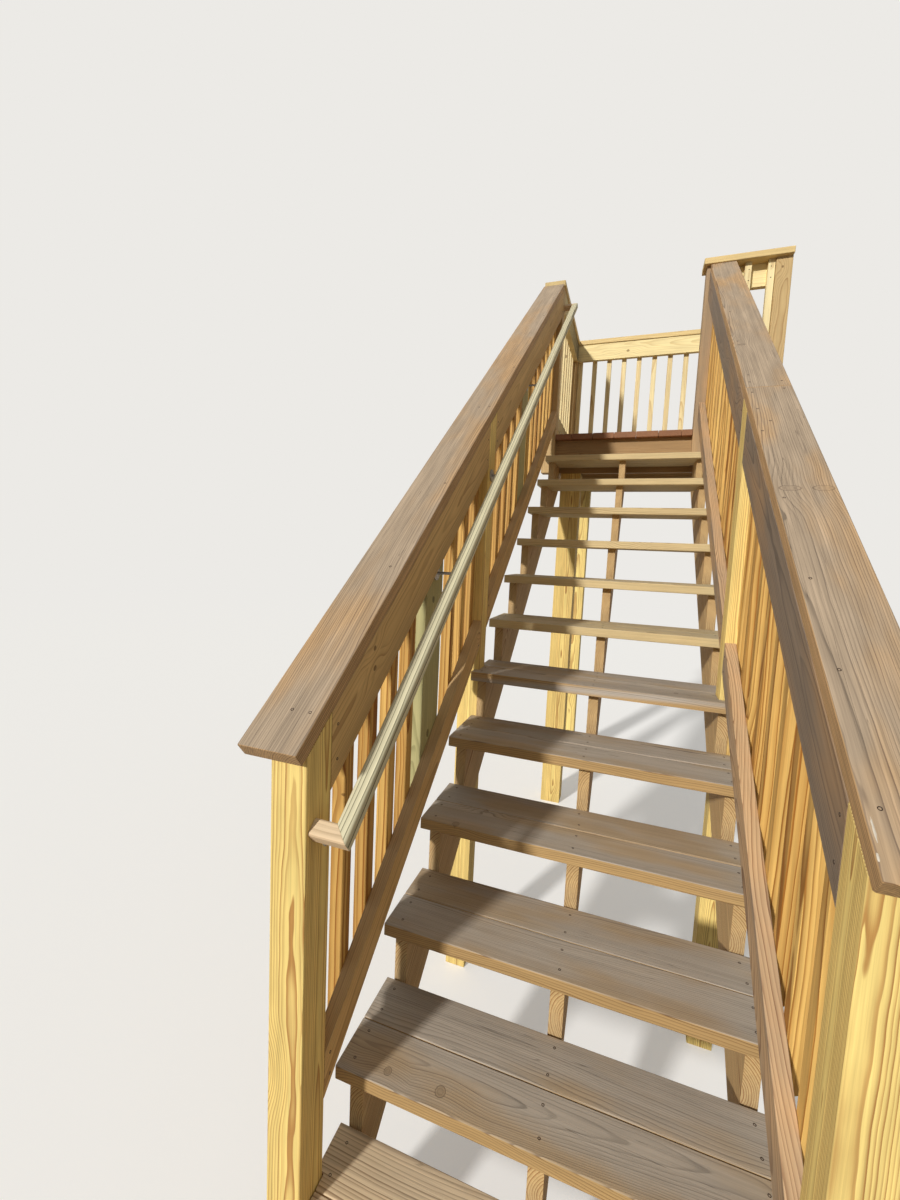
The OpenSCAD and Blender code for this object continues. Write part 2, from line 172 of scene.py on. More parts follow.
def timber(
    name, nodes, finish, seed, ease=0.003, sawn=SAWN_EDGE, pith=(0.03, 0.11), aside=(0.0, 0.03),
    flat=None, meshes=None, knots=(),
):
    """Boards in the place of CAD nodes, made from the nodes or from meshes. ease and sawn round their
    long and their cut edges. Each board carries its own grain coordinates, along, across and through,
    which start at the pith that it was sawn beside: pith is how deep that lies under the flat-sawn
    face, and aside how far to one side. knots are places and sizes of knots that show, of which a
    board takes the two nearest, as its distance from each in those coordinates, scaled to KNOT_SIZE.
    Two finishes are for the boards on the left and right."""
    rng = random.Random(seed)
    finishes = finish if isinstance(finish, tuple) else (finish,)
    verts, faces, tone, cut, side = [], [], [], [], []
    grain = {"grain": [], "knot_a": [], "knot_b": []}
    for board in boards_of(meshes or [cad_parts[node].data for node in nodes]):
        middle, along, thin = board_frame(board, flat)
        wide = thin.cross(along)
        ease_edges(board, along, ease, sawn)
        board.verts.index_update()
        heart = rng.uniform(*pith) * rng.choice((-1, 1))
        edgeways = rng.uniform(*aside) * rng.choice((-1, 1))
        start = rng.uniform(*LOG_START)
        origins = [(middle - along * start - wide * edgeways - thin * heart, 1.0)]
        near = sorted(knots, key=lambda knot: (Vector(knot[:3]) - middle).length)[:2]
        origins += [(Vector(knot[:3]), KNOT_SIZE / knot[3]) for knot in near]
        origins += [(FAR_OFF, 1.0)] * (len(grain) - len(origins))
        shade = rng.random()
        first = len(verts)
        for vert in board.verts:
            verts.append(vert.co[:])
            tone.append(shade)
            for key, (origin, scale) in zip(grain, origins):
                grain[key] += [(vert.co - origin).dot(axis) * scale for axis in (along, wide, thin)]
        for face in board.faces:
            faces.append([first + vert.index for vert in face.verts])
            cut.append(abs(face.normal.dot(along)))
            side.append(min(int(middle.x > 0), len(finishes) - 1))
        board.free()
    mesh = bpy.data.meshes.new(name)
    mesh.from_pydata(verts, [], faces)
    for key, values in grain.items():
        mesh.attributes.new(key, "FLOAT_VECTOR", "POINT").data.foreach_set("vector", values)
    mesh.attributes.new("tone", "FLOAT", "POINT").data.foreach_set("value", tone)
    mesh.attributes.new("cut", "FLOAT", "FACE").data.foreach_set("value", cut)
    for wood in finishes:
        mesh.materials.append(wood)
    mesh.polygons.foreach_set("material_index", side)
    return place(name, mesh, nodes)


def linear(code):
    """A hex colour as linear red, green, blue and alpha."""
    parts = [int(code[i : i + 2], 16) / 255 for i in (1, 3, 5)]
    return [c / 12.92 if c <= 0.04045 else ((c + 0.055) / 1.055) ** 2.4 for c in parts] + [1.0]


def add(tree, kind, feeds=(), out=0, **settings):
    """Adds one node with its settings, sets or links its inputs, and gives back an output."""
    node = tree.nodes.new(kind)
    for key, value in settings.items():
        setattr(node, key, value)
    for key, value in dict(feeds).items():
        if isinstance(value, bpy.types.NodeSocket):
            tree.links.new(value, node.inputs[key])
        else:
            node.inputs[key].default_value = value
    return node.outputs[out] if node.outputs else node


# Sawn southern pine is matt. Its growth rings show as lines and arches on the flat-sawn
# faces, as stripes on the edges and as arcs on the ends, so the finish is a solid one: rings
# round a pith that wanders along the log, knots that bend them, and fibres along the board.
KNOT_CELLS = (1.8, 5.5, 5.5)  # a metre, along and across the grain
KNOT_RINGS = ((0.95, 0.9), (0.5, 0.4))  # a dark ring's place in the knot, and how dark it is
BEND_REACH = 0.07  # how far from a knot the rings still bend
SCATTERED_BEND, KNOWN_BEND = 0.018, 0.01


def pine(
    name, early, late, old, skin, ring=0.005, lines=0.8, knots=0.3, dirt=0.5, sides=0.0, vary=0.18,
    eye=1.0, core_dark=0.75, zones=0.45, roam=0.075, soft=0.4,
):
    """A sawn pine. early and late are spring and summer wood, and lines is how strong the late wood
    shows. old is the weathered skin, which the faces that look up carry by the share skin and the
    others by that times sides, and zones is how much of it is left where it is thinnest. ring is a
    year's growth in metres, and soft how much of its dark lies before the sharp late line. knots is
    the share of cells with a knot, eye under 1 draws one out across the board, and core_dark is how
    dark its core is. dirt is the strength of streaks and stains, vary how much darker the darkest
    board is, and roam how far the pith wanders in metres."""
    finish = bpy.data.materials.new(name)
    finish.use_nodes = True
    t = finish.node_tree
    t.nodes.clear()
    MATH, VECTOR = "ShaderNodeMath", "ShaderNodeVectorMath"
    RANGE, MIX = "ShaderNodeMapRange", "ShaderNodeMix"
    SMOOTH = {"interpolation_type": "SMOOTHSTEP"}
    here = add(t, "ShaderNodeAttribute", out="Vector", attribute_name="grain")
    tone = add(t, "ShaderNodeAttribute", out="Fac", attribute_name="tone")
    cut = add(t, "ShaderNodeAttribute", out="Fac", attribute_name="cut")

    # Noises, as waves a metre along and across the grain. Real fibres are under 1 mm wide, and
    # these are 2 to 3 mm so that they show. Streaks are 8 mm, patches 150 mm wide.
    noise = {}
    for key, along, across, detail in (
        ("fibre", 7, 400, 2),
        ("streak", 2, 120, 2),
        ("patch", 2.2, 7, 3),
        ("stain", 6, 30, 4),
        ("split", 1.3, 60, 1),
        ("wander", 0.8, 2.2, 1),
        ("sway", 5, 15, 2),
    ):
        waves = add(t, VECTOR, {0: here, 1: (along, across, across)}, operation="MULTIPLY")
        out = "Color" if key in ("wander", "sway") else "Fac"
        noise[key] = add(t, "ShaderNodeTexNoise", {"Vector": waves, "Scale": 1, "Detail": detail}, out)

    # Knots, 14 to 30 mm across, and how far each pushes the rings aside: the scattered ones stand
    # one in a cell, and two more in the places that the board carries
    cells = add(t, VECTOR, {0: here, 1: KNOT_CELLS}, operation="MULTIPLY")
    centre = add(t, "ShaderNodeTexVoronoi", {"Vector": cells, "Scale": 1}, "Position")
    chance = add(t, "ShaderNodeSeparateColor", {0: centre.node.outputs["Color"]})
    centre = add(t, VECTOR, {0: centre, 1: KNOT_CELLS}, operation="DIVIDE")
    size = add(t, MATH, {0: chance.node.outputs[1], 1: 0.008, 2: 0.007}, operation="MULTIPLY_ADD")
    places = [(add(t, VECTOR, {0: here, 1: centre}, operation="SUBTRACT"), size, SCATTERED_BEND)]
    for key in ("knot_a", "knot_b"):
        away = add(t, "ShaderNodeAttribute", out="Vector", attribute_name=key)
        places.append((away, KNOT_SIZE, KNOWN_BEND))
    there = add(t, MATH, {0: chance, 1: knots}, operation="LESS_THAN")
    knot = rim = push = 0.0
    uneven = add(t, "ShaderNodeSeparateColor", {0: noise["sway"]})
    uneven = add(t, MATH, {0: uneven, 1: 0.9, 2: -0.45}, operation="MULTIPLY_ADD")
    for away, size, far in places:
        reach = add(t, VECTOR, {0: away, 1: (0.8, eye, 0.3)}, operation="MULTIPLY")
        reach = add(t, VECTOR, {0: reach}, "Value", operation="LENGTH")
        reach = add(t, MATH, {0: reach, 1: size}, operation="DIVIDE")
        reach = add(t, MATH, {0: reach, 1: uneven})
        core = add(t, RANGE, {0: reach, 1: 1.05, 2: 0.85}, **SMOOTH)
        core = add(t, MATH, {0: core, 1: there}, operation="MULTIPLY")
        knot = add(t, MATH, {0: core, 1: knot}, operation="MAXIMUM")
        for place_in, strong in KNOT_RINGS:
            bark = add(t, MATH, {0: reach, 1: place_in}, operation="SUBTRACT")
            bark = add(t, MATH, {0: bark}, operation="ABSOLUTE")
            bark = add(t, RANGE, {0: bark, 1: 0.15, 2: 0.0, 3: 0.0, 4: strong}, **SMOOTH)
            bark = add(t, MATH, {0: bark, 1: there}, operation="MULTIPLY")
            rim = add(t, MATH, {0: bark, 1: rim}, operation="MAXIMUM")
        bend = add(t, VECTOR, {0: away, 1: (0.4, 1, 0.4)}, operation="MULTIPLY")
        bend = add(t, VECTOR, {0: bend}, "Value", operation="LENGTH")
        bend = {0: bend, 1: BEND_REACH, 2: 0.0, 3: 0.0, 4: far}
        bend = add(t, RANGE, bend, interpolation_type="SMOOTHERSTEP")
        bend = add(t, MATH, {0: bend, 1: there}, operation="MULTIPLY")
        push = add(t, MATH, {0: bend, 1: push}, operation="MAXIMUM")
        there = 1.0  # the two in known places always stand

    # Rings by the distance from the pith, with years of uneven width and strength
    bent = here
    for key, far in (("wander", roam), ("sway", 0.006)):
        shift = add(t, VECTOR, {0: noise[key], 1: (0.5, 0.5, 0.5)}, operation="SUBTRACT")
        bent = add(t, VECTOR, {0: shift, 1: (0, far, far), 2: bent}, operation="MULTIPLY_ADD")
    radius = add(t, VECTOR, {0: bent, 1: (0, 1, 1)}, operation="MULTIPLY")
    radius = add(t, VECTOR, {0: radius}, "Value", operation="LENGTH")
    radius = add(t, MATH, {0: radius, 1: push})
    drift = add(t, MATH, {0: radius, 1: 60}, operation="MULTIPLY")
    drift = add(t, "ShaderNodeTexNoise", {"W": drift, "Scale": 1, "Detail": 1}, noise_dimensions="1D")
    drift = add(t, MATH, {0: drift, 1: 1.4}, operation="MULTIPLY")
    years = add(t, MATH, {0: radius, 1: 1 / ring, 2: drift}, operation="MULTIPLY_ADD")
    phase = add(t, MATH, {0: years}, operation="FRACT")
    year = add(t, MATH, {0: years}, operation="FLOOR")
    strength = add(t, "ShaderNodeTexWhiteNoise", {"W": year}, noise_dimensions="1D")
    strength = add(t, MATH, {0: strength, 1: 0.5, 2: 0.5}, operation="MULTIPLY_ADD")
    broad = add(t, RANGE, {0: phase, 1: 0.1, 2: 0.85, 3: 0.0, 4: soft}, **SMOOTH)
    rings = add(t, RANGE, {0: phase, 1: 0.85 - soft * 0.6, 2: 0.9, 3: 0.0, 4: 1 - soft}, **SMOOTH)
    rings = add(t, MATH, {0: rings, 1: broad})
    edge = add(t, RANGE, {0: phase, 1: 1.0, 2: 0.93}, **SMOOTH)
    rings = add(t, MATH, {0: rings, 1: edge}, operation="MULTIPLY")
    rings = add(t, MATH, {0: rings, 1: strength}, operation="MULTIPLY")
    clear = add(t, MATH, {0: 1.0, 1: knot}, operation="SUBTRACT")
    rings = add(t, MATH, {0: rings, 1: clear}, operation="MULTIPLY")

    # Colour: sound wood, and the skin that rain and sun give the faces that look up
    share = add(t, MATH, {0: rings, 1: lines}, operation="MULTIPLY")
    share = add(t, MATH, {0: tone, 1: vary, 2: share}, operation="MULTIPLY_ADD", use_clamp=True)
    wood = add(t, MIX, {0: share, 6: linear(early), 7: linear(late)}, 2, data_type="RGBA")
    share = add(t, MATH, {0: rings, 1: lines * 0.8}, operation="MULTIPLY", use_clamp=True)
    weathered = {0: share, 6: linear(old), 7: [c * 0.4 for c in linear(old)]}
    weathered = add(t, MIX, weathered, 2, data_type="RGBA")
    lie = add(t, "ShaderNodeSeparateXYZ", {0: add(t, "ShaderNodeNewGeometry", out="Normal")}, 2)
    lie = add(t, RANGE, {0: lie, 1: 0.3, 2: 0.7, 3: sides, 4: 1.0}, **SMOOTH)
    worn = {0: noise["patch"], 1: 0.35, 2: 0.6, 3: skin * zones, 4: skin}
    worn = add(t, RANGE, worn, **SMOOTH)
    worn = add(t, MATH, {0: worn, 1: lie}, operation="MULTIPLY", use_clamp=True)
    wood = add(t, MIX, {0: worn, 6: wood, 7: weathered}, 2, data_type="RGBA")
    level = add(t, MATH, {0: noise["fibre"], 1: 0.6 * dirt, 2: 1 - 0.3 * dirt}, operation="MULTIPLY_ADD")
    for key, span in (("streak", 0.7), ("patch", 0.5), ("stain", 0.5)):
        more = {0: noise[key], 1: span * dirt, 2: 1 - 0.5 * span * dirt}
        more = add(t, MATH, more, operation="MULTIPLY_ADD")
        level = add(t, MATH, {0: level, 1: more}, operation="MULTIPLY")
    wood = add(t, VECTOR, {0: wood, "Scale": level}, operation="SCALE")
    share = add(t, MATH, {0: knot, 1: core_dark}, operation="MULTIPLY")
    wood = add(t, MIX, {0: share, 6: wood, 7: [c * 0.5 for c in linear(late)]}, 2, data_type="RGBA")
    share = add(t, MATH, {0: rim, 1: 0.5}, operation="MULTIPLY")
    wood = add(t, MIX, {0: share, 6: wood, 7: [c * 0.2 for c in linear(late)]}, 2, data_type="RGBA")
    split = add(t, MATH, {0: noise["split"], 1: 0.5}, operation="SUBTRACT")
    split = add(t, MATH, {0: split}, operation="ABSOLUTE")
    split = add(t, RANGE, {0: split, 1: 0.007, 2: 0.0}, **SMOOTH)
    where = add(t, RANGE, {0: noise["patch"], 1: 0.5, 2: 0.6, 3: 0.0, 4: 0.4}, **SMOOTH)
    split = add(t, MATH, {0: split, 1: where}, operation="MULTIPLY")
    split = add(t, MATH, {0: split, 1: worn}, operation="MULTIPLY")
    wood = add(t, MIX, {0: split, 6: wood, 7: linear("#2b2018")}, 2, data_type="RGBA")
    sawn = add(t, RANGE, {0: cut, 1: 0.5, 2: 0.9, 3: 1.0, 4: 0.8})
    wood = add(t, VECTOR, {0: wood, "Scale": sawn}, operation="SCALE")

    # Relief in metres: summer wood stands proud, fibres, splits and knot rims sink
    height = add(t, MATH, {0: rings, 1: 0.0002}, operation="MULTIPLY")
    for source, depth in ((noise["fibre"], 0.0003), (split, -0.001), (rim, -0.0004)):
        height = add(t, MATH, {0: source, 1: depth, 2: height}, operation="MULTIPLY_ADD")
    bump = add(t, "ShaderNodeBump", {"Strength": 1, "Distance": 1, "Height": height})
    matt = add(t, MATH, {0: noise["fibre"], 1: 0.2, 2: 0.6}, operation="MULTIPLY_ADD")
    shader = add(t, "ShaderNodeBsdfPrincipled", {"Base Color": wood, "Roughness": matt, "Normal": bump})
    shader.node.inputs["Specular IOR Level"].default_value = 0.35
    add(t, "ShaderNodeOutputMaterial", {0: shader})
    return finish


framing = pine("treated pine framing", "#d9b980", "#97622d", "#8d7a62", 0.3, ring=0.006, lines=1.0)
for i, side in enumerate(("left", "middle", "right")):
    timber("stringer_" + side + "_plank", ["stringer_" + side], framing, 11 + i, ease=0.0015)


# Treads: two 140 mm boards each, notched round the posts. Their tops are weathered grey brown
# and their front edges stay warm tan; the upper ones, which get less rain, are yellower, and the
# lowest two are paler and warmer, which is painted sunlight. Two countersunk screws hold each
# board on each stringer.
def tree_with(name, **inputs):
    """New geometry nodes, with their points, named sizes and finish as inputs."""
    tree = bpy.data.node_groups.new(name, "GeometryNodeTree")
    tree.interface.new_socket("Points", in_out="INPUT", socket_type="NodeSocketGeometry")
    for key, value in inputs.items():
        kind = "NodeSocketInt" if isinstance(value, int) else "NodeSocketFloat"
        tree.interface.new_socket(key, in_out="INPUT", socket_type=kind).default_value = value
    tree.interface.new_socket("Finish", in_out="INPUT", socket_type="NodeSocketMaterial")
    tree.interface.new_socket("Pieces", in_out="OUTPUT", socket_type="NodeSocketGeometry")
    return tree, tree.nodes.new("NodeGroupInput").outputs


def grow(tree, points, finish, **sizes):
    """Runs the nodes on points, which carry the attributes, and gives back the plain mesh."""
    base = bpy.data.meshes.new("points")
    base.from_pydata([point["at"] for point in points], [], [])
    for key in sorted(set(points[0]) - {"at"}):
        single = isinstance(points[0][key], float)
        values = [point[key] for point in points]
        layer = base.attributes.new(key, "FLOAT" if single else "FLOAT_VECTOR", "POINT")
        if single:
            layer.data.foreach_set("value", values)
        else:
            layer.data.foreach_set("vector", [c for value in values for c in value])
    carrier = bpy.data.objects.new("points", base)
    bpy.context.scene.collection.objects.link(carrier)
    modifier = carrier.modifiers.new("grow", "NODES")
    modifier.node_group = tree
    for item in tree.interface.items_tree:
        if item.in_out == "INPUT" and item.name in sizes:
            modifier[item.identifier] = sizes[item.name]
        if item.in_out == "INPUT" and item.name == "Finish":
            modifier[item.identifier] = finish
    carrier.update_tag()
    grown = carrier.evaluated_get(bpy.context.evaluated_depsgraph_get())
    mesh = bpy.data.meshes.new_from_object(grown)
    bpy.data.objects.remove(carrier)
    return mesh


def stand_on_points(tree, given, shape):
    """Ends a tree with its shape on each point, square to the timber there."""
    facing = add(tree, "GeometryNodeInputNamedAttribute", {"Name": "facing"}, data_type="FLOAT_VECTOR")
    facing = add(tree, "FunctionNodeAlignRotationToVector", {"Vector": facing}, axis="Z")
    row = {"Points": given["Points"], "Instance": shape, "Rotation": facing}
    row = add(tree, "GeometryNodeInstanceOnPoints", row)
    row = add(tree, "GeometryNodeRealizeInstances", {"Geometry": row})
    row = add(tree, "GeometryNodeSetMaterial", {"Geometry": row, "Material": given["Finish"]})
    add(tree, "NodeGroupOutput", {"Pieces": row})


# A screw or nail head is a low disc with a tapered rim and a round recess. Most of its depth is in
# the timber.
HEAD_BURIED, HEAD_TAPER = 0.0035, 0.9
RECESS_STEPS = ((0.6, 0.0), (0.7, -1.0))  # each inwards, and down by a share of the recess
heads, given = tree_with("fastener heads", Width=0.008, Proud=0.0005, Recess=0.0016, Sides=14)
across = add(heads, "ShaderNodeMath", {0: given["Width"], 1: 0.5}, operation="MULTIPLY")
deep = add(heads, "ShaderNodeMath", {0: given["Proud"], 1: HEAD_BURIED})
disc = add(heads, "GeometryNodeMeshCylinder", {"Vertices": given["Sides"], "Radius": across, "Depth": deep})
top = disc.node.outputs["Top"]
disc = add(heads, "GeometryNodeScaleElements", {"Geometry": disc, "Selection": top, "Scale": HEAD_TAPER})
for inset, sink in RECESS_STEPS:
    sink = add(heads, "ShaderNodeMath", {0: given["Recess"], 1: sink}, operation="MULTIPLY")
    inner = {"Mesh": disc, "Selection": top, "Offset Scale": sink, "Individual": False}
    disc = add(heads, "GeometryNodeExtrudeMesh", inner)
    top = disc.node.outputs["Top"]
    disc = add(heads, "GeometryNodeScaleElements", {"Geometry": disc, "Selection": top, "Scale": inset})
lift = add(heads, "ShaderNodeMath", {0: deep, 1: -0.5, 2: given["Proud"]}, operation="MULTIPLY_ADD")
lift = add(heads, "ShaderNodeCombineXYZ", {2: lift})
disc = add(heads, "GeometryNodeSetPosition", {"Geometry": disc, "Offset": lift})
stand_on_points(heads, given, disc)


# Deck screws have a brown baked coat over the steel, which dulls in clouds 5 mm wide.
CLOUDS, DULLING = 180, 0.12


def clouded(name, dark, light, rough, metallic):
    """A coat, zinc or dried paste with clouds: its two shades, roughness and how metallic it is."""
    finish = bpy.data.materials.new(name)
    finish.use_nodes = True
    t = finish.node_tree
    spots = {"Vector": add(t, "ShaderNodeTexCoord", out="Object"), "Scale": CLOUDS, "Detail": 3}
    spots = add(t, "ShaderNodeTexNoise", spots)
    cloud = add(t, "ShaderNodeMix", {0: spots, 6: linear(dark), 7: linear(light)}, 2, data_type="RGBA")
    dull = {0: spots, 1: 0.3, 2: 0.7, 3: rough + DULLING, 4: rough - DULLING}
    dull = add(t, "ShaderNodeMapRange", dull)
    shader = t.nodes["Principled BSDF"].inputs
    t.links.new(cloud, shader["Base Color"])
    t.links.new(dull, shader["Roughness"])
    shader["Metallic"].default_value = metallic
    return finish


coated = clouded("brown-coated steel screws", "#30241a", "#57432f", 0.5, 0.35)
REACH = 0.02  # how far an aim may be off the timber
SQUARE_ON = -0.98  # the cosine between a fastener's way in and a face that takes it


def drive(name, aims, nodes, tree=heads, finish=coated, **sizes):
    """Fasteners in some nodes' timber. Each aim is a place near the surface and the way in. A
    fastener stands where the way meets the timber squarely."""
    timbers = bmesh.new()
    for node in nodes:
        timbers.from_mesh(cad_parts[node].data)
    faces = BVHTree.FromBMesh(timbers)
    timbers.free()
    seats = []
    for at, way in aims:
        way = Vector(way).normalized()
        hit, normal, _, _ = faces.ray_cast(Vector(at) - way * REACH, way, 2 * REACH)
        if hit and normal.dot(way) < SQUARE_ON:
            seats.append({"at": hit[:], "facing": (-way)[:]})
    place(name, grow(tree, seats, finish, **sizes), [])


def spread(node):
    """The lowest and highest corners of a node's boards."""
    corners = []
    for board in boards_of([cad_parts[node].data]):
        xs, ys, zs = zip(*(vert.co for vert in board.verts))
        corners.append((Vector((min(xs), min(ys), min(zs))), Vector((max(xs), max(ys), max(zs)))))
        board.free()
    return corners


DOWN, UP = Vector((0, 0, -1)), Vector((0, 0, 1))
PLANK = 0.038
STRINGERS = [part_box("stringer_" + side)[0].x + PLANK / 2 for side in ("left", "middle", "right")]
OFF_ROW, ALONG_ROW = 0.004, 0.006  # how far a screw strays
TREAD_ROWS = (0.24, 0.76)
# The lowest treads are the ones given painted sunlight.
PAINTED_SUNLIGHT_TREADS, GREY_TREADS = 2, 7  # the lowest treads and those above them, as counts from the foot
sway = random.Random(7)
tread_wood = pine(
    "weathered pine treads", "#bd9b67", "#76552f", "#b2a594", 1.0, ring=0.0036, lines=0.9, knots=0.22,
    soft=0.3, eye=0.7, core_dark=0.3,
)
# The two lowest treads get a paler, warmer copy of the tread finish: painted sunlight.
painted_sunlight_tread_wood = pine(
    "pine treads with painted sunlight", "#e8cda2", "#94673f", "#ddc8a8", 0.7, ring=0.0085, lines=1.0, knots=0.3,
    soft=0.5, eye=0.7, core_dark=0.3,
)
pale_tread_wood = pine(
    "tan pine treads", "#dcc592", "#97764a", "#b9a98a", 0.7, ring=0.0034, lines=0.7, knots=0.22
)
tread_nodes = sorted(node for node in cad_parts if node.startswith("tread_"))
TREAD_KNOTS = [
    (-0.373, 0.363, 0.594, 0.008), (-0.235, 0.368, 0.594, 0.01),
    (-0.379, 0.838, 0.99, 0.009), (-0.31, 0.96, 0.99, 0.007),
]
aims = []
for i, node in enumerate(tread_nodes):
    wood = painted_sunlight_tread_wood if i < PAINTED_SUNLIGHT_TREADS else tread_wood if i < GREY_TREADS else pale_tread_wood
    timber(
        node + "_boards", [node], wood, 100 + i, ease=0.004, pith=(0.05, 0.1), aside=(0.02, 0.12),
        knots=TREAD_KNOTS,
    )
    for low, high in spread(node):
        for x in STRINGERS:
            for share in TREAD_ROWS:
                y = low.y + share * (high.y - low.y) + sway.uniform(-OFF_ROW, OFF_ROW)
                aims.append(((x + sway.uniform(-ALONG_ROW, ALONG_ROW), y, high.z), DOWN))
drive("tread_screws", aims, tread_nodes)

# Posts: 89 mm sawn posts, yellow sapwood with thin orange lines that arch over the face that
# was sawn flat. The newels show that face to whoever comes up the stair.
post_wood = pine(
    "yellow pine posts", "#fbe08a", "#a3652a", "#a08a68", 0.3, ring=0.0038, lines=0.75, knots=0.2,
    dirt=0.7, roam=0.035, soft=0.5,
)
tan_post_wood = pine(
    "tan pine posts", "#d6b880", "#996c38", "#9c8a70", 0.4, ring=0.0036, lines=0.6, knots=0.3,
    dirt=0.4, sides=0.3,
)
worn_post_wood = pine(
    "weathered pine post", "#cda776", "#84603c", "#8b7e6b", 0.8, ring=0.0036, lines=0.7, sides=0.7,
    zones=0.2,
)
FRONT, SIDE = Vector((0, 1, 0)), Vector((1, 0, 0))
POST_KNOTS = [(0.847, 3.086, 3.73, 0.008)]
for i, (node, wood, flat) in enumerate(
    (
        ("newel_left", post_wood, FRONT),
        ("newel_right", post_wood, SIDE),
        ("mid_posts", post_wood, FRONT),
        ("top_post_left", tan_post_wood, SIDE),
        ("top_post_right", worn_post_wood, SIDE),
        ("landing_posts", tan_post_wood, FRONT),
        ("support_posts", post_wood, FRONT),
    )
):
    timber(
        node + "_timber", [node], wood, 200 + i, pith=(0.02, 0.045), aside=(0, 0.02), flat=flat,
        knots=POST_KNOTS,
    )

# Galvanised hex bolts on washers hold the posts to the stringers and rims. Their heads are on the
# posts' outer faces, and never on a face that will be covered at the landing's right end.
HEX_T, HEX_CROWN, HEX_TOP = 0.0068, 0.0009, 0.86
WASHER_T, WASHER_TOP = 0.004, 0.96
bolts, given = tree_with("hex bolts", Width=0.0185, Washer=0.032)
across = add(bolts, "ShaderNodeMath", {0: given["Width"], 1: 0.5}, operation="MULTIPLY")
nut = add(bolts, "GeometryNodeMeshCylinder", {"Vertices": 6, "Radius": across, "Depth": HEX_T})
top = nut.node.outputs["Top"]
crown = {"Mesh": nut, "Selection": top, "Offset Scale": HEX_CROWN, "Individual": False}
nut = add(bolts, "GeometryNodeExtrudeMesh", crown)
crown = {"Geometry": nut, "Selection": nut.node.outputs["Top"], "Scale": HEX_TOP}
nut = add(bolts, "GeometryNodeScaleElements", crown)
nut = add(bolts, "GeometryNodeSetPosition", {"Geometry": nut, "Offset": (0, 0, (WASHER_T + HEX_T) / 2)})
across = add(bolts, "ShaderNodeMath", {0: given["Washer"], 1: 0.5}, operation="MULTIPLY")
disc = add(bolts, "GeometryNodeMeshCylinder", {"Vertices": 24, "Radius": across, "Depth": WASHER_T})
rim = {"Geometry": disc, "Selection": disc.node.outputs["Top"], "Scale": WASHER_TOP}
disc = add(bolts, "GeometryNodeScaleElements", rim)
both = add(bolts, "GeometryNodeJoinGeometry", {"Geometry": nut})
bolts.links.new(disc, both.node.inputs["Geometry"])
stand_on_points(bolts, given, both)

galvanised = clouded("galvanised steel bolts", "#8d8c88", "#b7b7b3", 0.5, 0.9)
POST_BOLTS = {"newel_left": (0.13, 0.28), "newel_right": (0.13, 0.28), "mid_posts": (1.1, 1.27)}
LANDING_BOLTS = (2.56, 2.67)
LANDING_MIDDLE = 3.6
BOLT_SWAY = 0.012
COVERED = cad_high.x - 0.01
aims = []
for node in ("newel_left", "newel_right", "mid_posts", "top_post_left", "landing_posts"):
    for low, high in spread(node):
        middle = (low + high) / 2
        outer = low.x if middle.x < 0 else high.x
        for z in POST_BOLTS.get(node, LANDING_BOLTS):
            off = sway.uniform(-BOLT_SWAY, BOLT_SWAY)
            if high.x < COVERED:
                aims.append(((outer, middle.y + off, z), SIDE * (1 if middle.x < 0 else -1)))
            elif middle.y < LANDING_MIDDLE:
                aims.append(((middle.x + off, low.y, z), FRONT))
            else:
                aims.append(((middle.x + off, high.y, z), -FRONT))
drive("post_bolts", aims, sorted(POST_BOLTS) + ["top_post_left", "landing_posts"], bolts, galvanised)

# Caps: 144 mm boards laid flat on the guards, grey brown on top in zones and warm tan between;
# the grey zones are weathering and partly painted tree shade. Screws go down through them into
# the posts and the top rails, closer at the splice.
# zones=0.25 leaves strong grey and tan patches: weathering, and partly painted tree shade.
cap_wood_with_shade_zones = pine(
    "weathered pine caps with painted shade zones", "#cfa672", "#75502f", "#a8937a", 1.0, ring=0.0046, lines=1.0, knots=0.1,
    dirt=1.0, sides=0.1, eye=0.45, core_dark=0.12, zones=0.25, soft=0.3,
)
pale_cap_wood = pine("yellow pine caps", "#ecd193", "#b08446", "#cdb98e", 0.3, ring=0.005, lines=0.6)
CAP_KNOTS = [
    (0.482, 0.901, 2.09, 0.011), (0.558, 0.901, 2.089, 0.011), (0.556, 0.5, 1.772, 0.009),
    (0.46, 0.618, 1.865, 0.005), (-0.53, 2.2, 3.12, 0.01),
]
for i, node in enumerate(("stair_cap_left", "stair_cap_right", "landing_caps")):
    wood = cap_wood_with_shade_zones if "stair" in node else pale_cap_wood
    timber(
        node + "_boards", [node], wood, 300 + i, ease=0.004, sawn=0.002, pith=(0.04, 0.08),
        aside=(0.05, 0.1), knots=CAP_KNOTS,
    )

RISE, RUN = 0.198, 0.25
RAKE = RISE / RUN
FIRST_NOSING = -0.174314
CAP_TOP, LEVEL_CAP_TOP = 1.04, 3.829  # over the line of the nosings, and over the feet
INTO_CAP = Vector((0, RAKE, -1)).normalized()


def rake_z(y, over):
    """The height at a place up the flight, over the line of the treads' nosings."""
    return RISE + (y - FIRST_NOSING) * RAKE + over


